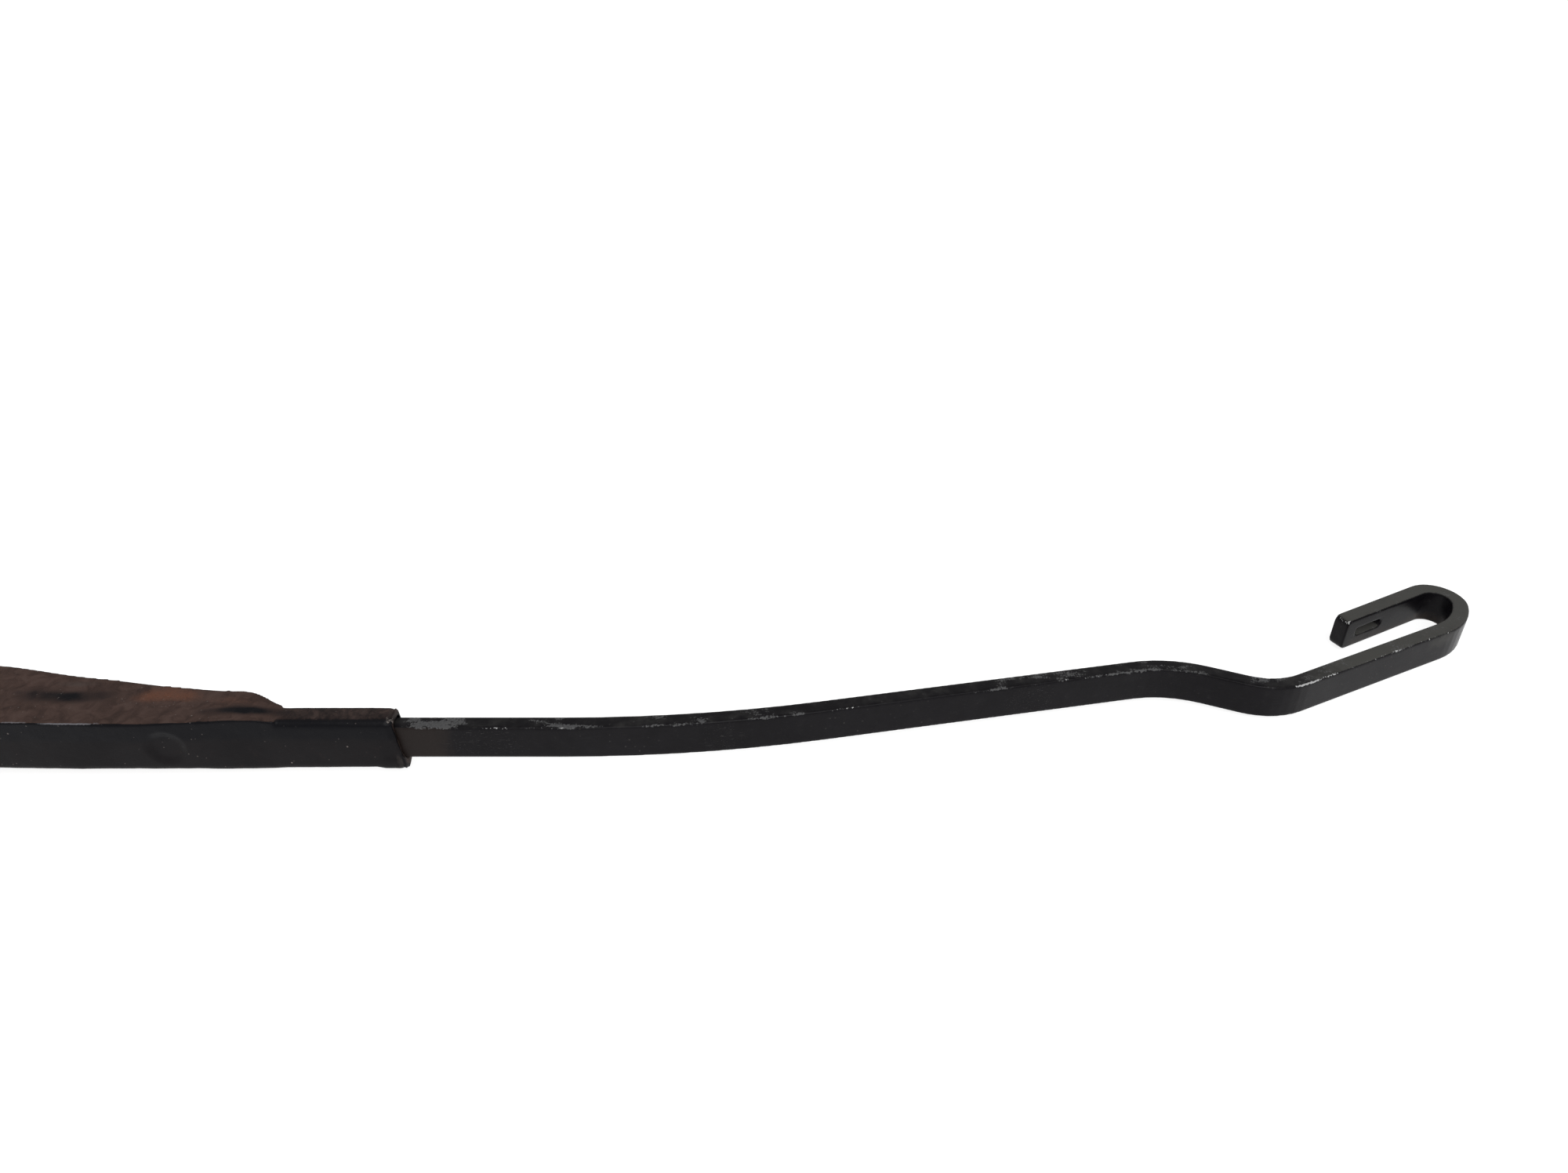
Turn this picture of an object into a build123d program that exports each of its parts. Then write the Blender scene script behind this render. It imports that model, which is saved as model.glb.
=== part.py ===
"""Windscreen wiper arm: die-cast head, sprung channel and flat bar with a U-hook.

Row frame, millimetres. The arm lies on its side. +X runs from the spindle to the hook,
+Y points to the glass, and +Z is across the arm's width. The origin is on the spindle's axis,
at the face of the head that seats on the spindle.
"""
import os
from math import cos, pi, sin

from build123d import *

# ---------------------------------------------------------------- driving dimensions
BAR_W = 9.0                # bar's width, along Z
BAR_T = 4.05               # bar's thickness
BAR_EDGE_R = 0.5
SHEET = 1.2                # channel's sheet thickness
ARM_FACE_Y = -19.0         # bar's outer face where it leaves the channel

HINGE = (50.0, -11.0)      # hinge pin's axis, in X and Y
PIN_R = 2.5
PIN_HEAD_R, PIN_HEAD_T = 4.3, 1.6
LINK_PIN_OFFSET = (-3.5, 6.06)     # from the hinge axis to the link's pin
LINK_PIN_R = 2.0
RUNNING = 0.05             # radial clearance of a running fit

# bar, along its centre line
TAIL_END = (123.0, -12.0)
ANCHOR_X = 127.0           # spring's hole in the tail
ANCHOR_R = 1.8
JOGGLE_X = (134.0, 144.0)
BOW_CORNER_X = 271.9
CREST_CORNER = (387.0, 5.7)
TROUGH_CORNER = (410.6, -4.15)
SHANK_END = (460.6, 19.9)
JOGGLE_R, BOW_R, CREST_R, TROUGH_R = 6.0, 310.0, 30.0, 16.5
CROWN_R1, CROWN_TURN1 = 18.0, 45.0     # the hook opens with a wide arc
CROWN_R2, CROWN_TURN2 = 5.75, 137.0    # and closes with a tight one
LEG_LENGTH = 28.5
TIP_CORNER, TAIL_CORNER = 1.7, 3.5
SLOT_LENGTH, SLOT_WIDTH, SLOT_FROM_TIP = 9.5, 2.4, 4.0

# channel
CHANNEL_END_X = 204.7
CHANNEL_END_TILT = 5.5      # degrees the sheared end leans from square
CRIMP_START_X = 177.7
CRIMP_DEPTH = 6.4
FOLD_R = 1.9
WEB_REAR_X = 60.0
EAR_R = 9.0
EAR_TOP_Y = -17.4
EAR_HALF = 9.4             # half width over the flanges at the hinge
CHANNEL_END_HALF = 7.3
CAVITY_HALF, CAVITY_R = 5.4, 1.2       # inside the crimp
DIMPLE_X, DIMPLE_R, DIMPLE_FLOOR_R, DIMPLE_FLOOR_Y = 152.0, 5.0, 3.0, -20.2
DIMPLE_TAPER = 68.5
SEAM = 0.8                 # between the flanges' edges, folded in behind the bar
WEB_Y = -20.4              # web's outer face at both of its ends
# free edge of the flanges, from over the ears to the crimp
FLANGE_EDGE = [(64.0, -0.5), (80.0, 1.0), (95.0, 1.3), (109.7, -0.2), (118.7, -2.1), (127.7, -3.8),
               (136.7, -5.1), (145.8, -6.6), (154.7, -8.0), (163.7, -9.2), (169.5, -10.0),
               (174.3, -12.4)]

# head
BOSS_R = 12.0
BOSS_TOP_Y = -21.0
RECESS_R, RECESS_FLOOR_Y = 9.75, -12.0
MOUTH_R, MOUTH_DEPTH = 6.3, 2.0        # plain mouth of the spindle's hole
CONE_R_SMALL, CONE_R_LARGE, CONE_END_Y = 5.2, 5.9, -8.0
BORE_R = 4.2               # clears the spindle's M8 thread
SERRATIONS, SERRATION_DEPTH = 36, 0.35
NECK_HALF = 7.5
SHOULDER_X = 40.4
COVER_STEP_X = 39.2
SHOULDER_TOP_Y = -22.3
STOP_X = 45.3
NOSE_X = 62.0
NOSE_TOP_Y = -18.9
LINK_SLOT_HALF = 2.6
LINK_SLOT_X = 41.6
BUSH_R, BUSH_FLANGE_R, BUSH_FLANGE_T = 3.5, 4.8, 0.6

# nut cover
COVER_AXIS = (-14.8, -20.6)
COVER_T = 2.0
COVER_GAP = 0.3            # over the boss
COVER_END_GAP = 0.4        # to the shoulder
COVER_RING = (9.15, 7.85, 2.5)         # outer and inner radius, depth of the snap ring
EAR_ROOT_X = -9.0
TRUNNION_R = 1.2
KNUCKLE_R = 2.4
KNUCKLE_HALF = 2.2
COVER_EAR = (2.6, 4.6)

# link and spring
LINK_HALF = 2.0
LINK_EYE_R = 4.1
LINK_TAIL_HALF = 1.4
LINK_BOW_CENTRE = (6.9, 1.4)
LINK_BOW_R = (3.2, 5.7)
LINK_HOLE_X, LINK_HOLE_R, LINK_END_R = 25.0, 1.7, 3.6
WIRE_R = 1.0
ELBOW_R = 1.08
COIL_R = 3.8               # mean radius
COIL_TURNS = 15.25
LOOP_SWEEP = 290.0         # degrees of each end loop
LOOP_SLACK = 0.35          # between an end loop and what it meets
FRONT_LOOP_BACK = 3.5      # from the bar's hole back to the front loop's centre

THROUGH = 40.0             # longer than any piece is wide

os.makedirs("parts", exist_ok=True)

LINK_PIN = (HINGE[0] + LINK_PIN_OFFSET[0], HINGE[1] + LINK_PIN_OFFSET[1])


def save(piece, name):
    piece.part.label = name
    export_step(piece.part, f"parts/{name}.step")


# ---------------------------------------------------------------- bar with its hook
bar_line_y = ARM_FACE_Y + BAR_T / 2
with BuildLine() as bar_path:
    body_line = FilletPolyline(
        TAIL_END,
        (JOGGLE_X[0], TAIL_END[1]),
        (JOGGLE_X[1], bar_line_y),
        (BOW_CORNER_X, bar_line_y),
        CREST_CORNER,
        TROUGH_CORNER,
        SHANK_END,
        radius=[JOGGLE_R, JOGGLE_R, BOW_R, CREST_R, TROUGH_R],
    )
    crown_1 = JernArc(start=body_line @ 1, tangent=body_line % 1, radius=CROWN_R1, arc_size=CROWN_TURN1)
    crown_2 = JernArc(start=crown_1 @ 1, tangent=crown_1 % 1, radius=CROWN_R2, arc_size=CROWN_TURN2)
    leg = Line(crown_2 @ 1, (crown_2 @ 1) + (crown_2 % 1) * LEG_LENGTH)
tip = leg @ 1
tip_dir = leg % 1


def end_corners(end, outward, normal, radius):
    """What is cut off a bar's end to round its two corners, seen square to its broad face."""
    with BuildSketch(Plane(origin=end, x_dir=outward, z_dir=normal)) as corners:
        with Locations((-radius / 2, 0)):
            Rectangle(radius + 1, BAR_W + 2)
        with Locations((-2 * radius, 0)):
            RectangleRounded(4 * radius, BAR_W, radius, mode=Mode.SUBTRACT)
        with Locations((-2 * radius, 0)):
            Rectangle(2 * radius, BAR_W + 2, mode=Mode.SUBTRACT)
    return corners.sketch


with BuildPart() as arm_bar:
    with BuildSketch(Plane(origin=bar_path.line @ 0, x_dir=(0, 0, 1), z_dir=bar_path.line % 0)):
        RectangleRounded(BAR_W, BAR_T, BAR_EDGE_R)
    sweep(path=bar_path.line)
    # tail: rounded end and the spring's hole
    tail_corners = end_corners(Vector(*TAIL_END), Vector(-1, 0, 0), Vector(0, 1, 0), TAIL_CORNER)
    extrude(tail_corners, amount=BAR_T, both=True, mode=Mode.SUBTRACT)
    with BuildSketch(Plane((ANCHOR_X, TAIL_END[1], 0), x_dir=(1, 0, 0), z_dir=(0, 1, 0))):
        Circle(ANCHOR_R)
    extrude(amount=BAR_T, both=True, mode=Mode.SUBTRACT)
    # hook: rounded tip and the slot that the blade's adapter locks into
    tip_normal = Vector(-tip_dir.Y, tip_dir.X, 0)
    tip_corners = end_corners(tip, tip_dir, tip_normal, TIP_CORNER)
    extrude(tip_corners, amount=BAR_T, both=True, mode=Mode.SUBTRACT)
    slot_mid = tip - tip_dir * (SLOT_FROM_TIP + SLOT_LENGTH / 2)
    with BuildSketch(Plane(origin=slot_mid, x_dir=tip_dir, z_dir=tip_normal)):
        SlotOverall(SLOT_LENGTH, SLOT_WIDTH)
    extrude(amount=BAR_T, both=True, mode=Mode.SUBTRACT)
save(arm_bar, "arm_bar")


# ---------------------------------------------------------------- channel
# stations along the channel: X, half width, Y of the web's outer face
STATIONS = [
    (64.0, EAR_HALF, WEB_Y),
    (72.0, 8.9, WEB_Y),
    (86.0, 7.8, WEB_Y),
    (105.0, 7.35, -20.45),
    (128.0, 7.25, -20.85),
    (152.0, 7.2, -20.85),
    (CRIMP_START_X, 7.25, WEB_Y),
]
OPEN_SIDE_Y = 8.0          # beyond the flanges' edges


def channel_section(x, half, web_y, radius):
    """Rounded on the web's side, square on the open side."""
    with BuildSketch(Plane.YZ.offset(x)) as section:
        with Locations(((web_y + OPEN_SIDE_Y) / 2, 0)):
            Rectangle(OPEN_SIDE_Y - web_y, 2 * half)
        fillet(section.vertices().group_by(Axis.Y)[0], radius)
    return section.sketch


def flange_edge():
    """Side outline of the flanges, from the crimp round the ears to the web's rear edge."""
    ear_start = HINGE[0] - (EAR_R ** 2 - (EAR_TOP_Y - HINGE[1]) ** 2) ** 0.5
    crimp_edge = (CRIMP_START_X, WEB_Y + CRIMP_DEPTH)
    with BuildSketch(Plane.XY) as side:
        with BuildLine():
            Polyline(crimp_edge, (CRIMP_START_X, -24), (WEB_REAR_X, -24),
                     (WEB_REAR_X, EAR_TOP_Y), (ear_start, EAR_TOP_Y))
            ThreePointArc((ear_start, EAR_TOP_Y), (HINGE[0] - EAR_R, HINGE[1]),
                          (HINGE[0], HINGE[1] + EAR_R))
            Spline((HINGE[0], HINGE[1] + EAR_R), *FLANGE_EDGE, crimp_edge,
                   tangents=[(1, 0), (1, -0.1)])
        make_face()
    return side.sketch


outer = [channel_section(x, half, web_y, FOLD_R) for x, half, web_y in STATIONS]
inner = [channel_section(x, half - SHEET, web_y + SHEET, FOLD_R - SHEET) for x, half, web_y in STATIONS]
ear_reach = STATIONS[0][0] - HINGE[0] + EAR_R
with BuildPart() as arm_channel:
    loft(outer)
    extrude(outer[0], amount=-ear_reach)
    loft(inner, mode=Mode.SUBTRACT)
    extrude(inner[0], amount=-ear_reach, mode=Mode.SUBTRACT)
    extrude(flange_edge(), amount=2 * EAR_HALF, both=True, mode=Mode.INTERSECT)
    # crimped mouth, folded round the bar
    crimp_line_y = WEB_Y + CRIMP_DEPTH / 2
    past_end_x = CHANNEL_END_X + 2
    for x, half in ((CRIMP_START_X, STATIONS[-1][1]), (past_end_x, CHANNEL_END_HALF)):
        with BuildSketch(Plane.YZ.offset(x)):
            with Locations((crimp_line_y, 0)):
                RectangleRounded(CRIMP_DEPTH, 2 * half, FOLD_R)
    loft()
    with BuildSketch(Plane.YZ.offset(CRIMP_START_X - 1)):
        with Locations((bar_line_y, 0)):
            RectangleRounded(BAR_T, 2 * CAVITY_HALF, CAVITY_R)
    extrude(amount=past_end_x - CRIMP_START_X + 2, mode=Mode.SUBTRACT)
    with Locations(((CRIMP_START_X + past_end_x) / 2, WEB_Y + CRIMP_DEPTH, 0)):
        Box(past_end_x - CRIMP_START_X + 2, 3, SEAM, mode=Mode.SUBTRACT)
    # end sheared a little out of square
    with Locations(Location((CHANNEL_END_X, crimp_line_y, 0), (0, -CHANNEL_END_TILT, 0))):
        Box(10, 20, 20, align=(Align.MIN, Align.CENTER, Align.CENTER), mode=Mode.SUBTRACT)
    # pressed dimple: its floor beds on the bar
    with BuildSketch(Plane((DIMPLE_X, ARM_FACE_Y - 1.0, 0), x_dir=(1, 0, 0), z_dir=(0, 1, 0))):
        Circle(DIMPLE_FLOOR_R + 1.2)
    extrude(amount=1.0, taper=50)
    with BuildSketch(Plane((DIMPLE_X, DIMPLE_FLOOR_Y - 1.2, 0), x_dir=(1, 0, 0), z_dir=(0, 1, 0))):
        Circle(DIMPLE_R + 1.2)
    extrude(amount=1.2, taper=DIMPLE_TAPER, mode=Mode.SUBTRACT)
    # hinge pin's holes
    with Locations((HINGE[0], HINGE[1], 0)):
        Cylinder(PIN_R, 4 * EAR_HALF, mode=Mode.SUBTRACT)
save(arm_channel, "arm_channel")


# ---------------------------------------------------------------- head
def serration_ring(height, radius):
    """Toothed outline of the bore's cone at a height above the seat."""
    step = 2 * pi / SERRATIONS
    points = []
    for i in range(SERRATIONS):
        points.append((radius * cos(i * step), radius * sin(i * step)))
        groove = radius + SERRATION_DEPTH
        points.append((groove * cos((i + 0.5) * step), groove * sin((i + 0.5) * step)))
    with BuildSketch(Plane.XZ.offset(height)) as ring:
        with BuildLine():
            Polyline(*points, close=True)
        make_face()
    return ring.sketch


HEAD_UNDER_Y = -1.6        # underside of the neck
NOSE_REACH_X = 70.0        # past the end of the nose
KNUCKLE_ROOT_X = -11.0     # inside the boss
with BuildPart() as mounting_head:
    # side outline: boss, neck with the cover's step and the lift stop, nose that meets the web
    with BuildSketch(Plane.XY):
        with Locations((0, BOSS_TOP_Y / 2)):
            Rectangle(2 * BOSS_R, -BOSS_TOP_Y)
        with BuildLine():
            Polyline((0, BOSS_TOP_Y), (COVER_STEP_X, BOSS_TOP_Y), (COVER_STEP_X, SHOULDER_TOP_Y),
                     (STOP_X, SHOULDER_TOP_Y), (STOP_X + 3.4, NOSE_TOP_Y), (NOSE_X, NOSE_TOP_Y),
                     (NOSE_X, NOSE_TOP_Y + 2.2), (56.4, -13.2), (52.6, -4.8), (49.4, -2.0),
                     (46.5, -0.8), (38.0, HEAD_UNDER_Y), (0, HEAD_UNDER_Y), close=True)
        make_face()
        with Locations(HINGE):
            Circle(6.8)
        with Locations(LINK_PIN):
            Circle(4.2)
    extrude(amount=BOSS_R, both=True)
    # plan outline: round boss, tapering neck, narrower fork inside the channel
    with BuildSketch(Plane.XZ):
        with BuildLine():
            Polyline((0, BOSS_R), (SHOULDER_X, EAR_HALF), (SHOULDER_X, NECK_HALF),
                     (NOSE_REACH_X, NECK_HALF), (NOSE_REACH_X, -NECK_HALF),
                     (SHOULDER_X, -NECK_HALF), (SHOULDER_X, -EAR_HALF), (0, -BOSS_R), close=True)
        make_face()
        Circle(BOSS_R)
    extrude(amount=THROUGH, both=True, mode=Mode.INTERSECT)
    # knuckle that the nut cover snaps on to
    with BuildSketch(Plane.XY):
        with Locations(COVER_AXIS):
            Circle(KNUCKLE_R)
        with BuildLine():
            knuckle_top = COVER_AXIS[1] - 0.2
            Polyline((COVER_AXIS[0], knuckle_top), (KNUCKLE_ROOT_X, knuckle_top), (KNUCKLE_ROOT_X, -13.0),
                     (COVER_AXIS[0] - 1.2, COVER_AXIS[1] + 2.0), close=True)
        make_face()
    extrude(amount=KNUCKLE_HALF, both=True)
    with Locations((COVER_AXIS[0], COVER_AXIS[1], 0)):
        Cylinder(TRUNNION_R + RUNNING, 3 * KNUCKLE_HALF, mode=Mode.SUBTRACT)
    # nut recess, spindle bore and its serrated cone
    with BuildSketch(Plane.XZ.offset(-RECESS_FLOOR_Y)):
        Circle(RECESS_R)
    extrude(amount=THROUGH, mode=Mode.SUBTRACT)
    with BuildSketch(Plane.XZ):
        Circle(BORE_R)
    extrude(amount=THROUGH, mode=Mode.SUBTRACT)
    cone = [serration_ring(MOUTH_DEPTH, CONE_R_LARGE), serration_ring(-CONE_END_Y, CONE_R_SMALL)]
    loft(cone, mode=Mode.SUBTRACT)
    with BuildSketch(Plane.XZ):
        Circle(MOUTH_R)
    extrude(amount=MOUTH_DEPTH, mode=Mode.SUBTRACT)
    # slot for the link, holes for the bushes and the link's pin
    with Locations((LINK_SLOT_X + THROUGH / 2, HINGE[1], 0)):
        Box(THROUGH, THROUGH, 2 * LINK_SLOT_HALF, mode=Mode.SUBTRACT)
    with Locations((HINGE[0], HINGE[1], 0)):
        Cylinder(BUSH_R, THROUGH, mode=Mode.SUBTRACT)
    with Locations((LINK_PIN[0], LINK_PIN[1], 0)):
        Cylinder(LINK_PIN_R, THROUGH, mode=Mode.SUBTRACT)
save(mounting_head, "mounting_head")

# ---------------------------------------------------------------- hinge pin, bushes, link pin
BUSHES = (("hinge_bush_upper", 1), ("hinge_bush_lower", -1))
for bush_name, side in BUSHES:
    with BuildPart() as bush:
        with BuildSketch(Plane((HINGE[0], HINGE[1], side * LINK_SLOT_HALF), z_dir=(0, 0, side))):
            Circle(BUSH_R)
        extrude(amount=NECK_HALF - LINK_SLOT_HALF)
        with BuildSketch(Plane((HINGE[0], HINGE[1], side * NECK_HALF), z_dir=(0, 0, side))):
            Circle(BUSH_FLANGE_R)
        extrude(amount=BUSH_FLANGE_T)
        with BuildSketch(Plane((HINGE[0], HINGE[1], 0), z_dir=(0, 0, side))):
            Circle(PIN_R + RUNNING)
        extrude(amount=THROUGH, mode=Mode.SUBTRACT)
    save(bush, bush_name)

with BuildPart() as hinge_pin:
    with Locations((HINGE[0], HINGE[1], 0)):
        Cylinder(PIN_R, 2 * EAR_HALF)
    for side in (1, -1):
        with BuildSketch(Plane((HINGE[0], HINGE[1], side * EAR_HALF), z_dir=(0, 0, side))):
            Circle(PIN_HEAD_R)
        extrude(amount=PIN_HEAD_T)
    fillet(hinge_pin.faces().sort_by(Axis.Z)[0].edges(), PIN_HEAD_T - 0.3)
    fillet(hinge_pin.faces().sort_by(Axis.Z)[-1].edges(), PIN_HEAD_T - 0.3)
save(hinge_pin, "hinge_pin")

with BuildPart() as link_pin:
    with Locations((LINK_PIN[0], LINK_PIN[1], 0)):
        Cylinder(LINK_PIN_R, 2 * NECK_HALF)
    chamfer(link_pin.edges().filter_by(GeomType.CIRCLE), 0.3)
save(link_pin, "link_pin")

# ---------------------------------------------------------------- link and tension spring
# the link's own frame: origin on its pin, x towards the spring's hole in the bar
link_vector = Vector(ANCHOR_X - LINK_PIN[0], TAIL_END[1] - LINK_PIN[1], 0)
link_dir = link_vector.normalized()
link_side = Vector(-link_dir.Y, link_dir.X, 0)
link_plane = Plane(origin=(LINK_PIN[0], LINK_PIN[1], 0), x_dir=link_dir, z_dir=(0, 0, 1))

with BuildPart() as spring_link:
    with BuildSketch(link_plane):
        with Locations(LINK_BOW_CENTRE):
            Circle(LINK_BOW_R[1])
        with Locations((LINK_BOW_CENTRE[0], -THROUGH / 2)):
            Rectangle(THROUGH, THROUGH, mode=Mode.SUBTRACT)
        tail_start = LINK_BOW_CENTRE[0] + LINK_BOW_R[0]
        with Locations(((tail_start + LINK_HOLE_X) / 2, 0)):
            Rectangle(LINK_HOLE_X - tail_start, 2 * LINK_TAIL_HALF)
        Circle(LINK_EYE_R)
        with Locations((LINK_HOLE_X, 0)):
            Circle(LINK_END_R)
            Circle(LINK_HOLE_R, mode=Mode.SUBTRACT)
        with Locations(LINK_BOW_CENTRE):
            Circle(LINK_BOW_R[0], mode=Mode.SUBTRACT)
        Circle(LINK_PIN_R + RUNNING, mode=Mode.SUBTRACT)
    extrude(amount=LINK_HALF, both=True)
save(spring_link, "spring_link")

rear_loop_x = LINK_HOLE_X - LOOP_SLACK + COIL_R
front_loop_x = link_vector.length - FRONT_LOOP_BACK
coil_start = rear_loop_x + COIL_R + 2 * WIRE_R + LOOP_SLACK
coil_end = front_loop_x - COIL_R - 2 * WIRE_R - LOOP_SLACK


def on_link(x, side=0.0, z=0.0):
    """A point in the link's frame."""
    return link_plane.origin + link_dir * x + link_side * side + Vector(0, 0, z)


coil_plane = Plane(origin=on_link(coil_start), x_dir=(0, 0, 1), z_dir=link_dir)
coil_length = coil_end - coil_start
coil = coil_plane * Helix(pitch=coil_length / COIL_TURNS, height=coil_length, radius=COIL_R)
rear_plane = Plane(origin=on_link(rear_loop_x), x_dir=link_dir, z_dir=-link_side)
front_plane = Plane(origin=on_link(front_loop_x), x_dir=link_dir, z_dir=(0, 0, 1))
# where each end of the coil turns into its loop's shank: place and direction, shank length
COIL_ENDS = (
    (on_link(coil_start, 0, COIL_R), -link_dir, coil_start - rear_loop_x, rear_plane, 90),
    (on_link(coil_end, -COIL_R, 0), link_dir, front_loop_x - coil_end, front_plane, 270),
)
with BuildPart() as tension_spring:
    with BuildSketch(Plane(origin=coil @ 0, z_dir=coil % 0)):
        Circle(WIRE_R)
    sweep(path=coil, is_frenet=True)
    for elbow, shank_dir, shank_length, loop_plane, loop_from in COIL_ENDS:
        with Locations(elbow):
            Sphere(ELBOW_R)
        with BuildSketch(Plane(origin=elbow, z_dir=shank_dir)):
            Circle(WIRE_R)
        extrude(amount=shank_length)
        with BuildLine(loop_plane) as loop:
            CenterArc((0, 0), COIL_R, loop_from, LOOP_SWEEP)
        with BuildSketch(Plane(origin=loop.line @ 0, z_dir=loop.line % 0)):
            Circle(WIRE_R)
        sweep(path=loop.line)
save(tension_spring, "tension_spring")

# ---------------------------------------------------------------- nut cover
cover_face = -BOSS_TOP_Y + COVER_GAP
with BuildPart() as nut_cover:
    with BuildSketch(Plane.XZ.offset(cover_face)):
        with BuildLine():
            cover_end_x = COVER_STEP_X - COVER_END_GAP
            Polyline((0, BOSS_R), (cover_end_x, EAR_HALF), (cover_end_x, -EAR_HALF),
                     (0, -BOSS_R), close=True)
        make_face()
        Circle(BOSS_R)
    extrude(amount=COVER_T)
    fillet(nut_cover.faces().sort_by(Axis.Y)[0].edges(), 1.2)
    # ring that snaps into the nut recess
    with BuildSketch(Plane.XZ.offset(cover_face)):
        Circle(COVER_RING[0])
        Circle(COVER_RING[1], mode=Mode.SUBTRACT)
    extrude(amount=-COVER_RING[2])
    # ears and trunnion
    for side in (1, -1):
        with BuildSketch(Plane.XY.offset(side * COVER_EAR[0])):
            with Locations(COVER_AXIS):
                Circle(KNUCKLE_R)
            with BuildLine():
                rear_x, front_x = COVER_AXIS[0] - KNUCKLE_R, COVER_AXIS[0] + KNUCKLE_R
                Polyline((rear_x, COVER_AXIS[1]), (rear_x + 0.8, -cover_face - 1.6),
                         (EAR_ROOT_X, -cover_face - 1.6), (EAR_ROOT_X, -cover_face),
                         (front_x, -cover_face), (front_x, COVER_AXIS[1]), close=True)
            make_face()
        extrude(amount=side * (COVER_EAR[1] - COVER_EAR[0]))
    with Locations((COVER_AXIS[0], COVER_AXIS[1], 0)):
        Cylinder(TRUNNION_R, 2 * COVER_EAR[0] + 1)
save(nut_cover, "nut_cover")
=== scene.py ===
from math import cos, pi, radians, sin

import bmesh
import bpy
import numpy as np
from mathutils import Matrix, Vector, noise


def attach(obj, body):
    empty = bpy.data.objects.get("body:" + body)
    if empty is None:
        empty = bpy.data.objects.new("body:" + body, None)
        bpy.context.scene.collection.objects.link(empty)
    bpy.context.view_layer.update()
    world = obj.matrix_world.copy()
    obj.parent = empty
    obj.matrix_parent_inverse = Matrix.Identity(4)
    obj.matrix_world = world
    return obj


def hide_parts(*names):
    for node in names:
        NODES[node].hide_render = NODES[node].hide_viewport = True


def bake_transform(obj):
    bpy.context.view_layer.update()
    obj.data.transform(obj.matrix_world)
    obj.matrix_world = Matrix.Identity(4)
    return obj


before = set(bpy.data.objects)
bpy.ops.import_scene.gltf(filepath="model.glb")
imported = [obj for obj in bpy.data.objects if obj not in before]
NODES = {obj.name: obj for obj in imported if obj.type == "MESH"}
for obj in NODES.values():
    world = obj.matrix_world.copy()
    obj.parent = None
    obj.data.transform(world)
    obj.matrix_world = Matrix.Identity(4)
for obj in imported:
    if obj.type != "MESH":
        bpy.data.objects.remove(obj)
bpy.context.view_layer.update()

MM = 0.001
SCENE = bpy.context.scene

# ---------------------------------------------------------------- camera
CAMERA_DOWN = 34.0          # degrees below the horizon
camera_data = bpy.data.cameras.new("camera")
camera_data.lens = 27.0
camera_data.sensor_width = 36.0
camera_data.clip_start, camera_data.clip_end = 0.01, 20.0
camera = bpy.data.objects.new("camera", camera_data)
camera.location = (0.2927, -0.22238, 0.18046)
camera.rotation_euler = (radians(90 - CAMERA_DOWN), 0, 0)
SCENE.collection.objects.link(camera)
SCENE.camera = camera


# ---------------------------------------------------------------- mesh helpers
def link(name, mesh):
    piece = bpy.data.objects.new(name, mesh)
    SCENE.collection.objects.link(piece)
    return piece


def applied(piece):
    """The piece's mesh with its modifiers applied."""
    depsgraph = bpy.context.evaluated_depsgraph_get()
    done = bpy.data.meshes.new_from_object(piece.evaluated_get(depsgraph))
    piece.modifiers.clear()
    piece.data = done
    done.name = piece.name


def shade_smooth(mesh):
    mesh.polygons.foreach_set("use_smooth", np.ones(len(mesh.polygons), bool))
    mesh.update()


def dense_copy(node, name, voxel):
    """An even, fine mesh of a CAD node's surface, to be dented and worn."""
    mesh = NODES[node].data.copy()
    work = bmesh.new()
    work.from_mesh(mesh)
    bmesh.ops.remove_doubles(work, verts=work.verts, dist=1e-6)
    work.to_mesh(mesh)
    work.free()
    mesh.materials.clear()
    piece = link(name, mesh)
    remesh = piece.modifiers.new("voxels", "REMESH")
    remesh.mode, remesh.voxel_size = "VOXEL", voxel
    hug = piece.modifiers.new("hug", "SHRINKWRAP")
    hug.target, hug.wrap_method = NODES[node], "NEAREST_SURFACEPOINT"
    ease = piece.modifiers.new("ease", "SMOOTH")
    ease.factor, ease.iterations = 0.5, 2
    applied(piece)
    return piece


def vertices_of(mesh):
    co = np.zeros(len(mesh.vertices) * 3)
    mesh.vertices.foreach_get("co", co)
    return co.reshape(-1, 3)


def normals_of(mesh):
    n = np.zeros(len(mesh.vertices) * 3)
    mesh.vertices.foreach_get("normal", n)
    return n.reshape(-1, 3)


def set_vertices(mesh, co):
    mesh.vertices.foreach_set("co", co.ravel())
    mesh.update()


def neighbour_mean(mesh, values):
    """Mean over each vertex's neighbours, of one value or one vector per vertex."""
    edges = np.zeros(len(mesh.edges) * 2, np.int64)
    mesh.edges.foreach_get("vertices", edges)
    a, b = edges.reshape(-1, 2).T
    total = np.zeros_like(values)
    np.add.at(total, a, values[b])
    np.add.at(total, b, values[a])
    count = np.maximum(np.bincount(edges, minlength=len(values)), 1).astype(float)
    return total / (count[:, None] if values.ndim == 2 else count)


def convex_edges(mesh, size, rounds=2):
    """0 on flats and in hollows, up to 1 along a piece's outer edges."""
    co = vertices_of(mesh)
    mask = np.einsum("ij,ij->i", co - neighbour_mean(mesh, co), normals_of(mesh)) / size
    mask = np.clip(mask, 0, 1)
    for _ in range(rounds):
        mask = 0.5 * mask + 0.5 * neighbour_mean(mesh, mask)
    return np.clip(mask, 0, 1)


def attribute(mesh, name, values):
    layer = mesh.attributes.get(name) or mesh.attributes.new(name, "FLOAT", "POINT")
    layer.data.foreach_set("value", values.astype(np.float32))


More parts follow.
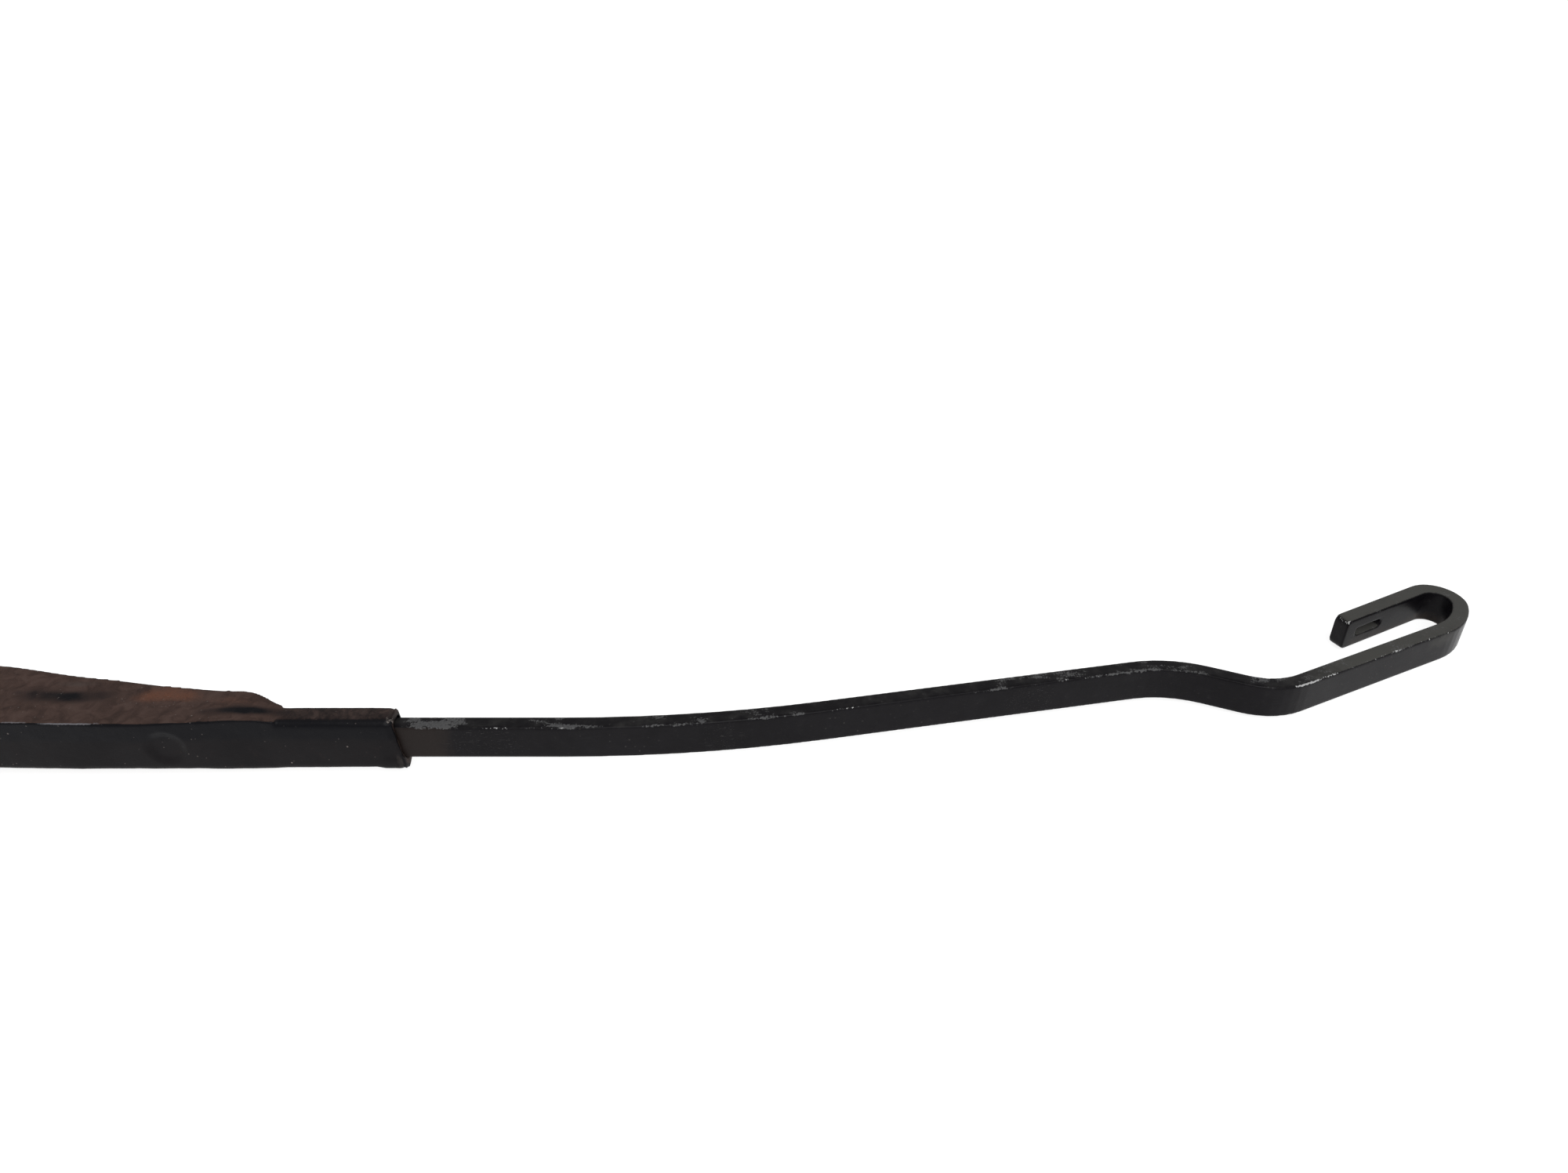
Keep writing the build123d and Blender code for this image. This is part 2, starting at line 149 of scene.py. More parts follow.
def ramp(x, low, high):
    """0 below low, 1 above high, smooth between; low may be the larger one."""
    t = np.clip((x - low) / (high - low), 0, 1)
    return t * t * (3 - 2 * t)


def patch(co, centre, radii, soft=0.5):
    """A soft ellipsoid: 1 at its heart, 0 outside. centre and radii in mm."""
    d = (co / MM - np.array(centre)) / np.array(radii)
    return ramp(np.linalg.norm(d, axis=1), 1.0, 1.0 - soft)


def grain(co, size, seed=0.0, stretch=(1, 1, 1), depth=3):
    """Smooth noise from about -1 to 1 with features of that size in mm."""
    at = co / (MM * size) / np.array(stretch) + seed
    return np.array([noise.fractal(Vector(p), 0.8, 2.0, depth) for p in at])


# ---------------------------------------------------------------- material helpers
def rgb(red, green, blue):
    """A colour in linear light."""
    return (red, green, blue, 1.0)


class Surface:
    """Builds one procedural material. Lengths are in mm, on the row frame's coordinates."""

    def __init__(self, name, specular, metallic=0.0):
        self.material = bpy.data.materials.new(name)
        self.material.use_nodes = True
        self.tree = self.material.node_tree
        self.shader = self.tree.nodes["Principled BSDF"]
        self.shader.inputs["Specular IOR Level"].default_value = specular
        self.shader.inputs["Metallic"].default_value = metallic
        self.place = self.add("ShaderNodeTexCoord").outputs["Object"]

    def add(self, kind, values=(), **settings):
        node = self.tree.nodes.new(kind)
        for key, value in settings.items():
            setattr(node, key, value)
        for key, value in values:
            self.put(node.inputs[key], value)
        return node

    def put(self, socket, value):
        if isinstance(value, bpy.types.NodeSocket):
            self.tree.links.new(value, socket)
        else:
            socket.default_value = value

    def at(self, turn=(0, 0, 0), stretch=(1, 1, 1)):
        """Coordinates turned by degrees and stretched along each axis."""
        scale = tuple(1 / s for s in stretch)
        angles = tuple(radians(t) for t in turn)
        turned = self.add("ShaderNodeMapping", [("Vector", self.place), ("Rotation", angles)])
        return self.add("ShaderNodeMapping",
                        [("Vector", turned.outputs[0]), ("Scale", scale)]).outputs[0]

    def noise(self, size, detail=3.0, rough=0.55, vector=None, distortion=0.0):
        """Noise from 0 to 1 with features of that size."""
        return self.add("ShaderNodeTexNoise", [
            ("Vector", vector or self.place), ("Scale", 1 / (size * MM)), ("Detail", detail),
            ("Roughness", rough), ("Distortion", distortion)]).outputs[0]

    def cells(self, size):
        """Distance to the nearest cell's centre, and that cell's own colour."""
        node = self.add("ShaderNodeTexVoronoi", [
            ("Vector", self.place), ("Scale", 1 / (size * MM))])
        return node.outputs["Distance"], node.outputs["Color"]

    def span(self, value, low, high, to_low=0.0, to_high=1.0):
        """Smooth step of a value between low and high."""
        return self.add("ShaderNodeMapRange", [
            ("Value", value), ("From Min", low), ("From Max", high),
            ("To Min", to_low), ("To Max", to_high)],
            interpolation_type="SMOOTHSTEP").outputs[0]

    def maths(self, operation, a, b=0.0):
        return self.add("ShaderNodeMath", [(0, a), (1, b)], operation=operation).outputs[0]

    def times(self, a, b):
        return self.maths("MULTIPLY", a, b)

    def plus(self, a, b):
        return self.maths("ADD", a, b)

    def mix(self, factor, a, b):
        node = self.add("ShaderNodeMix", [(0, factor), (6, a), (7, b)], data_type="RGBA")
        return node.outputs[2]

    def mask(self, name):
        """A mask painted on the mesh."""
        return self.add("ShaderNodeAttribute", attribute_name=name).outputs["Fac"]

    def broken(self, name, texture, amount, low, high):
        """A painted mask whose outline is broken up by a texture."""
        shifted = self.times(self.plus(texture, -0.5), amount)
        return self.span(self.plus(self.mask(name), shifted), low, high)

    def specks(self, size, share, radius=0.22):
        """Small dots in some of the cells."""
        distance, colour = self.cells(size)
        chosen = self.span(self.add("ShaderNodeSeparateColor", [(0, colour)]).outputs[0],
                           1 - share, 1 - share + 0.02)
        return self.times(self.span(distance, radius, radius * 0.6), chosen)

    def scratches(self, turn, length, width, share):
        """Fine straight marks, along X before they are turned."""
        marks = self.noise(1.0, 1.0, vector=self.at(turn, (length, width, width)))
        return self.span(marks, 1 - share, 1 - share + 0.03)

    def finish(self, colour, roughness, height, depth):
        """Joins colour, roughness and bump (height from 0 to 1, depth in mm) to the shader."""
        self.put(self.shader.inputs["Base Color"], colour)
        self.put(self.shader.inputs["Roughness"], roughness)
        bump = self.add("ShaderNodeBump", [
            ("Strength", 1.0), ("Distance", depth * MM), ("Height", height)])
        self.put(self.shader.inputs["Normal"], bump.outputs[0])
        return self.material


def bar_paint():
    """Black paint on the bar: flaked grey on its upper edge face, dusty at the hook, with a painted
    highlight along its top front edge.
    """
    s = Surface("bar_paint", specular=0.10)
    broad, middle, fine = s.noise(24), s.noise(3.2), s.noise(0.5, 4)
    tone = s.span(s.plus(s.times(broad, 0.6), s.times(middle, 0.4)), 0.3, 0.72)
    colour = s.mix(tone, rgb(0.0038, 0.0032, 0.0042), rgb(0.0072, 0.0064, 0.0078))
    dust = s.broken("dust", middle, 0.9, 0.1, 1.0)
    colour = s.mix(dust, colour, rgb(0.056, 0.055, 0.051))
    earth = s.broken("earth", middle, 0.9, 0.2, 1.0)
    colour = s.mix(earth, colour, rgb(0.030, 0.021, 0.015))
    stain = s.broken("stain", middle, 0.7, 0.15, 0.95)
    colour = s.mix(stain, colour, rgb(0.0135, 0.0098, 0.0088))
    marks = s.plus(s.scratches((0, 0, 24), 5.0, 0.16, 0.30),
                   s.scratches((0, 0, -3), 7.0, 0.14, 0.29))
    marks = s.times(marks, s.mask("marks"))
    colour = s.mix(s.times(marks, 0.7), colour, rgb(0.085, 0.082, 0.080))
    grit = s.times(s.specks(1.1, 0.22), s.span(broad, 0.4, 0.65))
    colour = s.mix(s.times(grit, 0.4), colour, rgb(0.07, 0.066, 0.062))
    flake = s.plus(s.times(middle, 0.45), s.times(fine, 0.55))
    scuff = s.broken("scuff", flake, 1.9, 0.50, 0.68)
    flaked = s.mix(fine, rgb(0.036, 0.036, 0.038), rgb(0.125, 0.125, 0.126))
    colour = s.mix(s.times(scuff, 0.85), colour, flaked)
    # painted highlight: a bright line along the top front edge
    painted_edge_highlight = s.broken("painted_edge_highlight", fine, 1.8, 0.55, 0.70)
    colour = s.mix(painted_edge_highlight, colour, rgb(0.40, 0.40, 0.40))
    rough = s.plus(s.span(broad, 0.3, 0.7, 0.28, 0.42), s.times(s.plus(dust, scuff), 0.22))
    height = s.plus(s.times(fine, 0.35), s.times(s.plus(scuff, marks), -0.65))
    return s.finish(colour, rough, height, 0.05)


def channel_paint():
    """Old black paint on the pressed channel, rusted brown through on its flanks, with painted
    shade along its upper fold and web and a painted highlight streak on that fold.
    """
    s = Surface("channel_paint", specular=0.09)
    broad, middle, fine = s.noise(18), s.noise(3.4, 5, 0.6, distortion=0.8), s.noise(0.45, 4)
    tone = s.span(s.plus(s.times(broad, 0.55), s.times(middle, 0.45)), 0.3, 0.72)
    colour = s.mix(tone, rgb(0.0045, 0.0037, 0.0045), rgb(0.0095, 0.0082, 0.0090))
    blotch = s.plus(s.times(s.plus(middle, -0.5), 0.6), s.times(s.plus(fine, -0.5), 0.35))
    rust = s.span(s.plus(s.mask("rust"), blotch), 0.12, 0.85)
    brown = s.mix(s.span(middle, 0.25, 0.8), rgb(0.033, 0.0200, 0.0165), rgb(0.080, 0.046, 0.037))
    colour = s.mix(rust, colour, brown)
    bloom = s.span(s.plus(s.mask("bloom"), s.times(blotch, 1.2)), 0.15, 1.0)
    colour = s.mix(bloom, colour, s.mix(fine, rgb(0.085, 0.036, 0.023), rgb(0.150, 0.062, 0.036)))
    dust = s.broken("dust", middle, 0.8, 0.15, 1.0)
    colour = s.mix(dust, colour, rgb(0.062, 0.054, 0.050))
    # painted shade: near-black along the upper fold and the top of the web
    painted_shade = s.broken("painted_shade", middle, 0.7, 0.05, 0.80)
    colour = s.mix(painted_shade, colour, rgb(0.0028, 0.0028, 0.0042))
    # painted highlight: a pale streak along the upper fold
    painted_fold_highlight = s.broken("painted_fold_highlight", fine, 0.9, 0.15, 0.8)
    colour = s.mix(painted_fold_highlight, colour, rgb(0.130, 0.125, 0.135))
    grit = s.plus(s.times(s.specks(0.9, 0.16), 0.4), s.times(s.specks(2.3, 0.10, 0.12), 0.8))
    grit = s.plus(s.times(grit, s.span(broad, 0.35, 0.6)),
                  s.times(s.specks(0.8, 0.4), s.mask("grit")))
    colour = s.mix(grit, colour, rgb(0.15, 0.13, 0.12))
    flake = s.plus(s.times(middle, 0.4), s.times(fine, 0.6))
    scuff = s.broken("scuff", flake, 1.8, 0.55, 0.72)
    colour = s.mix(scuff, colour, s.mix(fine, rgb(0.06, 0.05, 0.045), rgb(0.18, 0.16, 0.15)))
    rough = s.plus(s.span(middle, 0.3, 0.7, 0.46, 0.58), s.times(s.plus(rust, dust), 0.14))
    rough = s.plus(rough, s.times(painted_shade, -0.12))
    height = s.plus(s.times(fine, s.span(rust, 0.0, 1.0, 0.35, 0.9)), s.times(middle, 0.4))
    return s.finish(colour, rough, height, 0.07)


def cast_paint():
    """Black paint on the die-cast head: finely pitted skin, bare and bright on its edges."""
    s = Surface("cast_paint", specular=0.18)
    broad, middle, fine = s.noise(14), s.noise(2.2, 4), s.noise(0.6, 4)
    tone = s.span(s.plus(s.times(broad, 0.5), s.times(middle, 0.5)), 0.3, 0.7)
    colour = s.mix(tone, rgb(0.0066, 0.0058, 0.0064), rgb(0.0125, 0.0110, 0.0112))
    dust = s.broken("dust", middle, 0.9, 0.2, 1.0)
    colour = s.mix(dust, colour, rgb(0.060, 0.052, 0.045))
    bare = s.broken("bare", fine, 0.5, 0.35, 0.65)
    colour = s.mix(bare, colour, s.mix(middle, rgb(0.13, 0.13, 0.135), rgb(0.26, 0.26, 0.265)))
    scuff = s.broken("scuff", fine, 1.7, 0.55, 0.72)
    colour = s.mix(scuff, colour, s.mix(fine, rgb(0.10, 0.10, 0.10), rgb(0.24, 0.24, 0.245)))
    rough = s.plus(s.span(middle, 0.3, 0.7, 0.42, 0.56), s.times(dust, 0.2))
    pits, _ = s.cells(0.9)
    height = s.plus(s.times(fine, 0.6), s.times(s.span(pits, 0.0, 0.35), 0.5))
    return s.finish(colour, rough, height, 0.06)


def cover_plastic():
    """Black moulded plastic, faded grey by the sun and rubbed at its rim."""
    s = Surface("cover_plastic", specular=0.26)
    broad, middle, fine = s.noise(16), s.noise(1.8, 4), s.noise(0.28, 3)
    colour = s.mix(s.span(broad, 0.3, 0.7), rgb(0.010, 0.010, 0.011), rgb(0.019, 0.019, 0.019))
    dust = s.broken("dust", middle, 0.9, 0.2, 1.0)
    colour = s.mix(dust, colour, rgb(0.085, 0.080, 0.072))
    marks = s.plus(s.scratches((0, 35, 0), 4.0, 0.18, 0.31),
                   s.scratches((0, -18, 0), 5.0, 0.2, 0.30))
    colour = s.mix(s.times(marks, 0.4), colour, rgb(0.10, 0.10, 0.10))
    scuff = s.broken("scuff", fine, 1.4, 0.5, 0.75)
    colour = s.mix(s.times(scuff, 0.8), colour, rgb(0.085, 0.085, 0.086))
    rough = s.plus(s.span(middle, 0.3, 0.7, 0.44, 0.56), s.times(dust, 0.18))
    height = s.plus(s.times(fine, 0.8), s.times(marks, -0.4))
    return s.finish(colour, rough, height, 0.04)


def bush_plastic():
    """Off-white acetal, stained with old grease."""
    s = Surface("bush_plastic", specular=0.45)
    middle, fine = s.noise(1.6, 4), s.noise(0.3)
    colour = s.mix(s.span(middle, 0.3, 0.7), rgb(0.38, 0.34, 0.26), rgb(0.62, 0.58, 0.49))
    grease = s.span(s.noise(3.0, 4, distortion=0.6), 0.52, 0.68)
    colour = s.mix(grease, colour, rgb(0.045, 0.036, 0.024))
    rough = s.span(grease, 0.0, 1.0, 0.48, 0.28)
    return s.finish(colour, rough, fine, 0.02)


def worn_steel(name, bright, dull, rust_share):
    """Zinc-dulled steel with rust coming through; turned and rubbed edges stay brighter."""
    s = Surface(name, specular=0.5, metallic=0.75)
    broad, middle, fine = s.noise(6), s.noise(1.1, 4), s.noise(0.22, 4)
    colour = s.mix(s.span(broad, 0.3, 0.7), dull, bright)
    spread = s.plus(s.times(middle, 0.6), s.times(broad, 0.4))
    rust = s.span(spread, 0.62 - 0.3 * rust_share, 0.74 - 0.3 * rust_share)
    colour = s.mix(rust, colour, s.mix(fine, rgb(0.055, 0.022, 0.010), rgb(0.16, 0.065, 0.028)))
    edge = s.add("ShaderNodeBevel", [("Radius", 0.25 * MM)], samples=4).outputs[0]
    flat = s.add("ShaderNodeNewGeometry").outputs["Normal"]
    turned = s.add("ShaderNodeVectorMath", [(0, edge), (1, flat)], operation="DOT_PRODUCT")
    rubbed = s.span(turned.outputs["Value"], 0.995, 0.93)
    colour = s.mix(s.times(rubbed, s.span(middle, 0.35, 0.6)), colour, rgb(0.42, 0.41, 0.39))
    rough = s.plus(s.span(middle, 0.3, 0.7, 0.34, 0.48), s.times(rust, 0.35))
    height = s.plus(s.times(fine, 0.6), s.times(rust, 0.5))
    return s.finish(colour, rough, height, 0.03)


# ---------------------------------------------------------------- pieces shown for CAD nodes
def stand_in(node, body, name, voxel):
    """A dense copy that is shown in place of a CAD node and moves with its body."""
    piece = dense_copy(node, name, voxel)
    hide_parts(node)
    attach(piece, body)
    return piece


def finish_piece(piece, material):
    piece.data.materials.clear()
    piece.data.materials.append(material)
    shade_smooth(piece.data)


def spread(mesh, mask, rounds):
    """The mask grown by that many rings of neighbours."""
    for _ in range(rounds):
        mask = np.maximum(mask, neighbour_mean(mesh, mask))
    return mask


# ---------------------------------------------------------------- arm bar
BAR_VOXEL = 0.40 * MM
# stretches along the bar, from X to X: how much is chipped off its top front edge
CHIPPED = ((206, 224, 0.75), (228, 250, 0.85), (258, 275, 0.75), (281, 305, 0.80), (318, 330, 0.55),
           (336, 392, 0.80), (404, 413, 0.95), (416, 436, 0.85), (440, 466, 0.6))
# and how much of the paint on its upper edge face is flaked to grey
FLAKED = ((205, 222, 0.72), (234, 252, 0.78), (261, 276, 0.70), (280, 300, 0.46), (312, 328, 0.32),
          (342, 366, 0.62), (372, 396, 0.66), (403, 413, 0.70), (414, 436, 0.52), (440, 470, 0.45))
# and where a painted highlight runs along that edge
PAINTED_EDGE_HIGHLIGHTS = ((222, 232, 0.50), (238, 246, 0.42), (302, 312, 0.38), (350, 372, 0.40), (414, 428, 0.72),
          (432, 447, 0.50), (451, 462, 0.62))


def stretches(x, table):
    """The largest share that a table of stretches gives at each X."""
    share = np.zeros(len(x))
    for low, high, much in table:
        share = np.maximum(share, much * ramp(x, low - 3, low + 3) * ramp(x, high + 3, high - 3))
    return share


bar = stand_in("arm_bar", "arm", "arm_bar_worn", BAR_VOXEL)
co, normal = vertices_of(bar.data), normals_of(bar.data)
x_mm, y_mm = co[:, 0] / MM, co[:, 1] / MM
corner = ramp(normal[:, 2], 0.15, 0.5) * ramp(-normal[:, 1], 0.1, 0.4)
top_edge = neighbour_mean(bar.data, spread(bar.data, corner, 2))
upper = ramp(normal[:, 2], 0.6, 0.9)
lumps = grain(co, 2.4, seed=3.7, stretch=(3.2, 1, 1), depth=4)
scuff = top_edge * stretches(x_mm, CHIPPED) * np.clip(0.75 + 0.55 * lumps, 0, 1.2)
scuff = np.maximum(scuff, upper * stretches(x_mm, FLAKED) * np.clip(0.70 + 0.75 * lumps, 0, 1.1))
any_edge = convex_edges(bar.data, 0.2 * BAR_VOXEL)
scuff = np.maximum(scuff, 0.32 * any_edge * ramp(grain(co, 7.0, seed=9.1), 0.0, 0.7))
chip_depth = 0.14 * MM * ramp(scuff, 0.45, 0.9) * ramp(grain(co, 0.9, seed=5.2), -0.1, 0.5)
set_vertices(bar.data, co - normal * chip_depth[:, None])
front = ramp(-normal[:, 1], 0.3, 0.8)
on_hook = ramp(x_mm, 452, 462)
on_leg = ramp(y_mm, 20, 24) * ramp(x_mm, 436, 442)
attribute(bar.data, "scuff", scuff)
# painted highlight along the top front edge, weaker on the hook's leg
painted_edge_highlight = corner * stretches(x_mm, PAINTED_EDGE_HIGHLIGHTS) * np.clip(0.9 + 0.6 * lumps, 0, 1.3)
attribute(bar.data, "painted_edge_highlight", painted_edge_highlight * (1 - 0.45 * on_leg))
attribute(bar.data, "stain", front * ramp(x_mm, 220, 212) * 0.95)
attribute(bar.data, "dust", np.maximum.reduce([
    upper * (0.22 + 0.78 * ramp(x_mm, 408, 440)), 0.06 * ramp(x_mm, 402, 462),
    0.95 * on_hook * upper, 0.55 * patch(co, (462, 16, 3), (12, 8, 5), 0.8)]))
low_down = ramp(normal[:, 2], 0.7, 0.2) * ramp(co[:, 2] / MM, 1, -4)
attribute(bar.data, "earth", 0.55 * on_leg * low_down)
attribute(bar.data, "marks", np.maximum.reduce([
    0.12 * np.ones(len(co)),
    patch(co, (279, -18, 0), (7, 4, 6)),
    patch(co, (352, -3, 0), (8, 5, 6)),
    0.8 * patch(co, (225, -19, 0), (12, 3, 6))]))
finish_piece(bar, bar_paint())

# ---------------------------------------------------------------- channel
CHANNEL_VOXEL = 0.42 * MM
CHANNEL_END_X = 204.7
CHANNEL_END_LEAN = 0.0963   # how far the sheared end leans per mm of Z
CRIMP_MIDDLE_Y = -17.2
channel = stand_in("arm_channel", "arm", "arm_channel_worn", CHANNEL_VOXEL)
co, normal = vertices_of(channel.data), normals_of(channel.data)
x_mm, z_mm = co[:, 0] / MM, co[:, 2] / MM
fold = np.degrees(np.arctan2(np.abs(normal[:, 2]), -normal[:, 1]))   # 0 on the web, 90 on a flange
wave = grain(co, 24, seed=1.3, stretch=(1, 3, 3))
dents = grain(co, 13, seed=6.1)
along_fold = ramp(fold, 15, 40) * ramp(fold, 85, 60)
to_end = CHANNEL_END_X - CHANNEL_END_LEAN * z_mm - x_mm
off_middle = np.abs(z_mm) + np.abs(co[:, 1] / MM - CRIMP_MIDDLE_Y)
outward = ramp(-normal[:, 0], -0.6, -0.2) * ramp(off_middle, 5.2, 6.2)
press = 0.16 * wave * along_fold + 0.07 * dents + 0.018 * grain(co, 1.6, seed=2.2)
press += 0.30 * patch(co, (203, -19, -6), (5, 4, 4))
press -= 0.38 * outward * ramp(to_end, 1.5, 0.0)
set_vertices(channel.data, co + normal * (press * MM)[:, None])
bent = fold + 9 * wave
flank = ramp(bent, 54, 84)
warped = co.copy()           # rust blooms and painted shade have wandering outlines
warped[:, 0] += 5.0 * MM * grain(co, 11, seed=8.3)
warped[:, 1] += 1.5 * MM * grain(co, 6, seed=12.7, stretch=(2.5, 1, 1))
edge = convex_edges(channel.data, 0.2 * CHANNEL_VOXEL)
crimped = ramp(x_mm, 172, 182)
attribute(channel.data, "rust", np.clip(flank * (1.0 - 0.66 * crimped) + 0.08, 0, 1))
bloom = 0.85 * patch(warped, (150, -10.8, 7), (12, 5, 6), 1.0)
bloom = bloom + 0.45 * patch(warped, (166, -12.5, 7), (12, 4, 6), 1.0)
bloom = bloom + 0.4 * patch(co, (92, -6, 8), (14, 7, 5), 1.0)
attribute(channel.data, "bloom", bloom)
# painted shade: the top of the web, the fold along the crimp, and darker blotches on the top flange
shaded_web = ramp(z_mm, 0.2, 4.6) * ramp(bent, 74, 50)
crimp_fold_shade = 0.75 * crimped * ramp(fold, 20, 36) * ramp(fold, 62, 48)
attribute(channel.data, "painted_shade", np.maximum.reduce([
    shaded_web,
    crimp_fold_shade,
    0.72 * patch(warped, (127, -11, 7), (19, 4.2, 6), 1.0),
    0.90 * patch(warped, (171, -16.4, 7), (16, 3.4, 6), 1.0),
    0.45 * patch(warped, (106, -13, 7), (14, 4, 6), 1.0)]))
on_fold = 1.1 * ramp(fold, 48, 58) * ramp(fold, 86, 74)
# painted highlight along the upper fold, between X 112 and 146
painted_fold_highlight = on_fold * ramp(x_mm, 112, 122) * ramp(x_mm, 146, 132) * ramp(z_mm, 0, 3)
attribute(channel.data, "painted_fold_highlight", painted_fold_highlight)
attribute(channel.data, "dust", np.maximum.reduce([
    0.20 * flank * crimped, 0.30 * flank, 0.5 * patch(co, (127, -6.5, 7), (14, 3, 5), 1.0),
    # lighter along the rim of the sheared end
    0.42 * outward * ramp(to_end, 1.9, 1.0)]))
attribute(channel.data, "grit", 0.6 * patch(co, (146, -12.5, 7), (14, 3.5, 5), 0.8))
# a lighter spot on the sheared end's top front corner
end_corner_spot = 0.75 * patch(co, (203.2, -18.8, 6.4), (1.6, 1.6, 1.6))
attribute(channel.data, "scuff", np.maximum(0.42 * edge, end_corner_spot))
finish_piece(channel, channel_paint())

# ---------------------------------------------------------------- head and nut cover
HEAD_VOXEL = 0.36 * MM
head = stand_in("mounting_head", "head", "mounting_head_cast", HEAD_VOXEL)
co, normal = vertices_of(head.data), normals_of(head.data)
edge = convex_edges(head.data, 0.2 * HEAD_VOXEL)
from_axis = np.hypot(co[:, 0], co[:, 2]) / MM
y_mm = co[:, 1] / MM
in_bore = ramp(from_axis, 7.2, 6.6) * ramp(y_mm, -12.6, -12.2)
seat = ramp(y_mm, -0.5, -0.2) * ramp(normal[:, 1], 0.6, 0.9)
in_recess = ramp(from_axis, 10.2, 9.9) * ramp(y_mm, -11.6, -12.2)
rough_cast = 0.035 * MM * grain(co, 3.0, seed=4.4) * (1 - in_bore) * (1 - seat)
set_vertices(head.data, co + normal * rough_cast[:, None])
attribute(head.data, "bare", np.clip(in_bore + seat + 0.6 * in_recess, 0, 1))
attribute(head.data, "scuff", edge * 0.75)
dust = 0.35 * ramp(grain(co, 12, seed=7.9), -0.2, 0.6)
attribute(head.data, "dust", dust + 0.3 * ramp(co[:, 0] / MM, 38, 48))
finish_piece(head, cast_paint())

COVER_VOXEL = 0.28 * MM
cover = stand_in("nut_cover", "cover", "nut_cover_moulded", COVER_VOXEL)
co, normal = vertices_of(cover.data), normals_of(cover.data)
edge = convex_edges(cover.data, 0.2 * COVER_VOXEL)
attribute(cover.data, "scuff", edge * (0.55 + 0.3 * grain(co, 5, seed=8.8)))
dust = 0.4 * ramp(grain(co, 10, seed=2.9), -0.1, 0.7)
attribute(cover.data, "dust", dust * ramp(-normal[:, 1], 0.2, 0.8))
finish_piece(cover, cover_plastic())

# ---------------------------------------------------------------- tension spring
WIRE_R, COIL_R, COIL_TURNS = 1.0, 3.8, 15.25
REAR_LOOP, COIL_START, COIL_END, FRONT_LOOP = 28.45, 34.6, 71.16, 77.31   # along the link's line
LINK_PIN = Vector((46.5, -4.94, 0))
link_dir = Vector((0.996176, -0.087367, 0))
link_side = Vector((0.087367, 0.996176, 0))
UP = Vector((0, 0, 1))
STEP = 0.3                  # spacing of the wire's centre line
WIRE_SIDES = 16


def on_link(along, side=0.0, up=0.0):
    return LINK_PIN + link_dir * along + link_side * side + UP * up


def loop_points(centre, first, last, across):
    """Round an end loop, from one angle to another; across is the loop's second direction."""
    count = int(abs(radians(last - first)) * COIL_R / STEP)
    for i in range(count + 1):
        a = radians(first + (last - first) * i / count)
        yield on_link(centre) + link_dir * (COIL_R * cos(a)) + across * (COIL_R * sin(a))


line = list(loop_points(REAR_LOOP, 380, 90, UP))
shank = int((COIL_START - REAR_LOOP) / STEP)
for i in range(1, shank):
    line.append(on_link(REAR_LOOP + (COIL_START - REAR_LOOP) * i / shank, 0, COIL_R))
elbow_1 = len(line)
around = int(2 * pi * COIL_R * COIL_TURNS / STEP)
for i in range(around + 1):
    a = 2 * pi * COIL_TURNS * i / around
    along = COIL_START + (COIL_END - COIL_START) * i / around
    line.append(on_link(along, -COIL_R * sin(a), COIL_R * cos(a)))
elbow_2 = len(line) - 1
for i in range(1, shank):
    line.append(on_link(COIL_END + (FRONT_LOOP - COIL_END) * i / shank, -COIL_R, 0))
line += list(loop_points(FRONT_LOOP, 270, 560, link_side))
points = np.array([tuple(p) for p in line])
for _ in range(12):         # the wire turns each elbow in a small bend
    eased = points.copy()
    eased[1:-1] = (points[:-2] + 2 * points[1:-1] + points[2:]) / 4
    for elbow in (elbow_1, elbow_2):
        points[elbow - 6:elbow + 7] = eased[elbow - 6:elbow + 7]
points *= MM

work = bmesh.new()
side = UP.copy()
rings = []
for i, p in enumerate(points):
    ahead = Vector(points[min(i + 1, len(points) - 1)] - points[max(i - 1, 0)]).normalized()
    side = (side - ahead * side.dot(ahead)).normalized()
    other = ahead.cross(side)
    rings.append([work.verts.new(Vector(p) + (side * cos(a) + other * sin(a)) * WIRE_R * MM)
                  for a in (2 * pi * k / WIRE_SIDES for k in range(WIRE_SIDES))])
for a, b in zip(rings, rings[1:]):
    for k in range(WIRE_SIDES):
        work.faces.new((a[k - 1], a[k], b[k], b[k - 1]))
for ring, way in ((rings[0], -1), (rings[-1], 1)):   # domed cut ends
    cap = work.faces.new(ring[::way])
    bmesh.ops.inset_individual(work, faces=[cap], thickness=0.25 * MM, depth=0.12 * MM)
bmesh.ops.recalc_face_normals(work, faces=work.faces)
spring_mesh = bpy.data.meshes.new("tension_spring_wound")
work.to_mesh(spring_mesh)
work.free()
spring = link("tension_spring_wound", spring_mesh)
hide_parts("tension_spring")
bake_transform(spring)
OILED, OILED_DULL = rgb(0.11, 0.11, 0.115), rgb(0.045, 0.044, 0.046)
finish_piece(spring, worn_steel("spring_steel", OILED, OILED_DULL, 0.45))

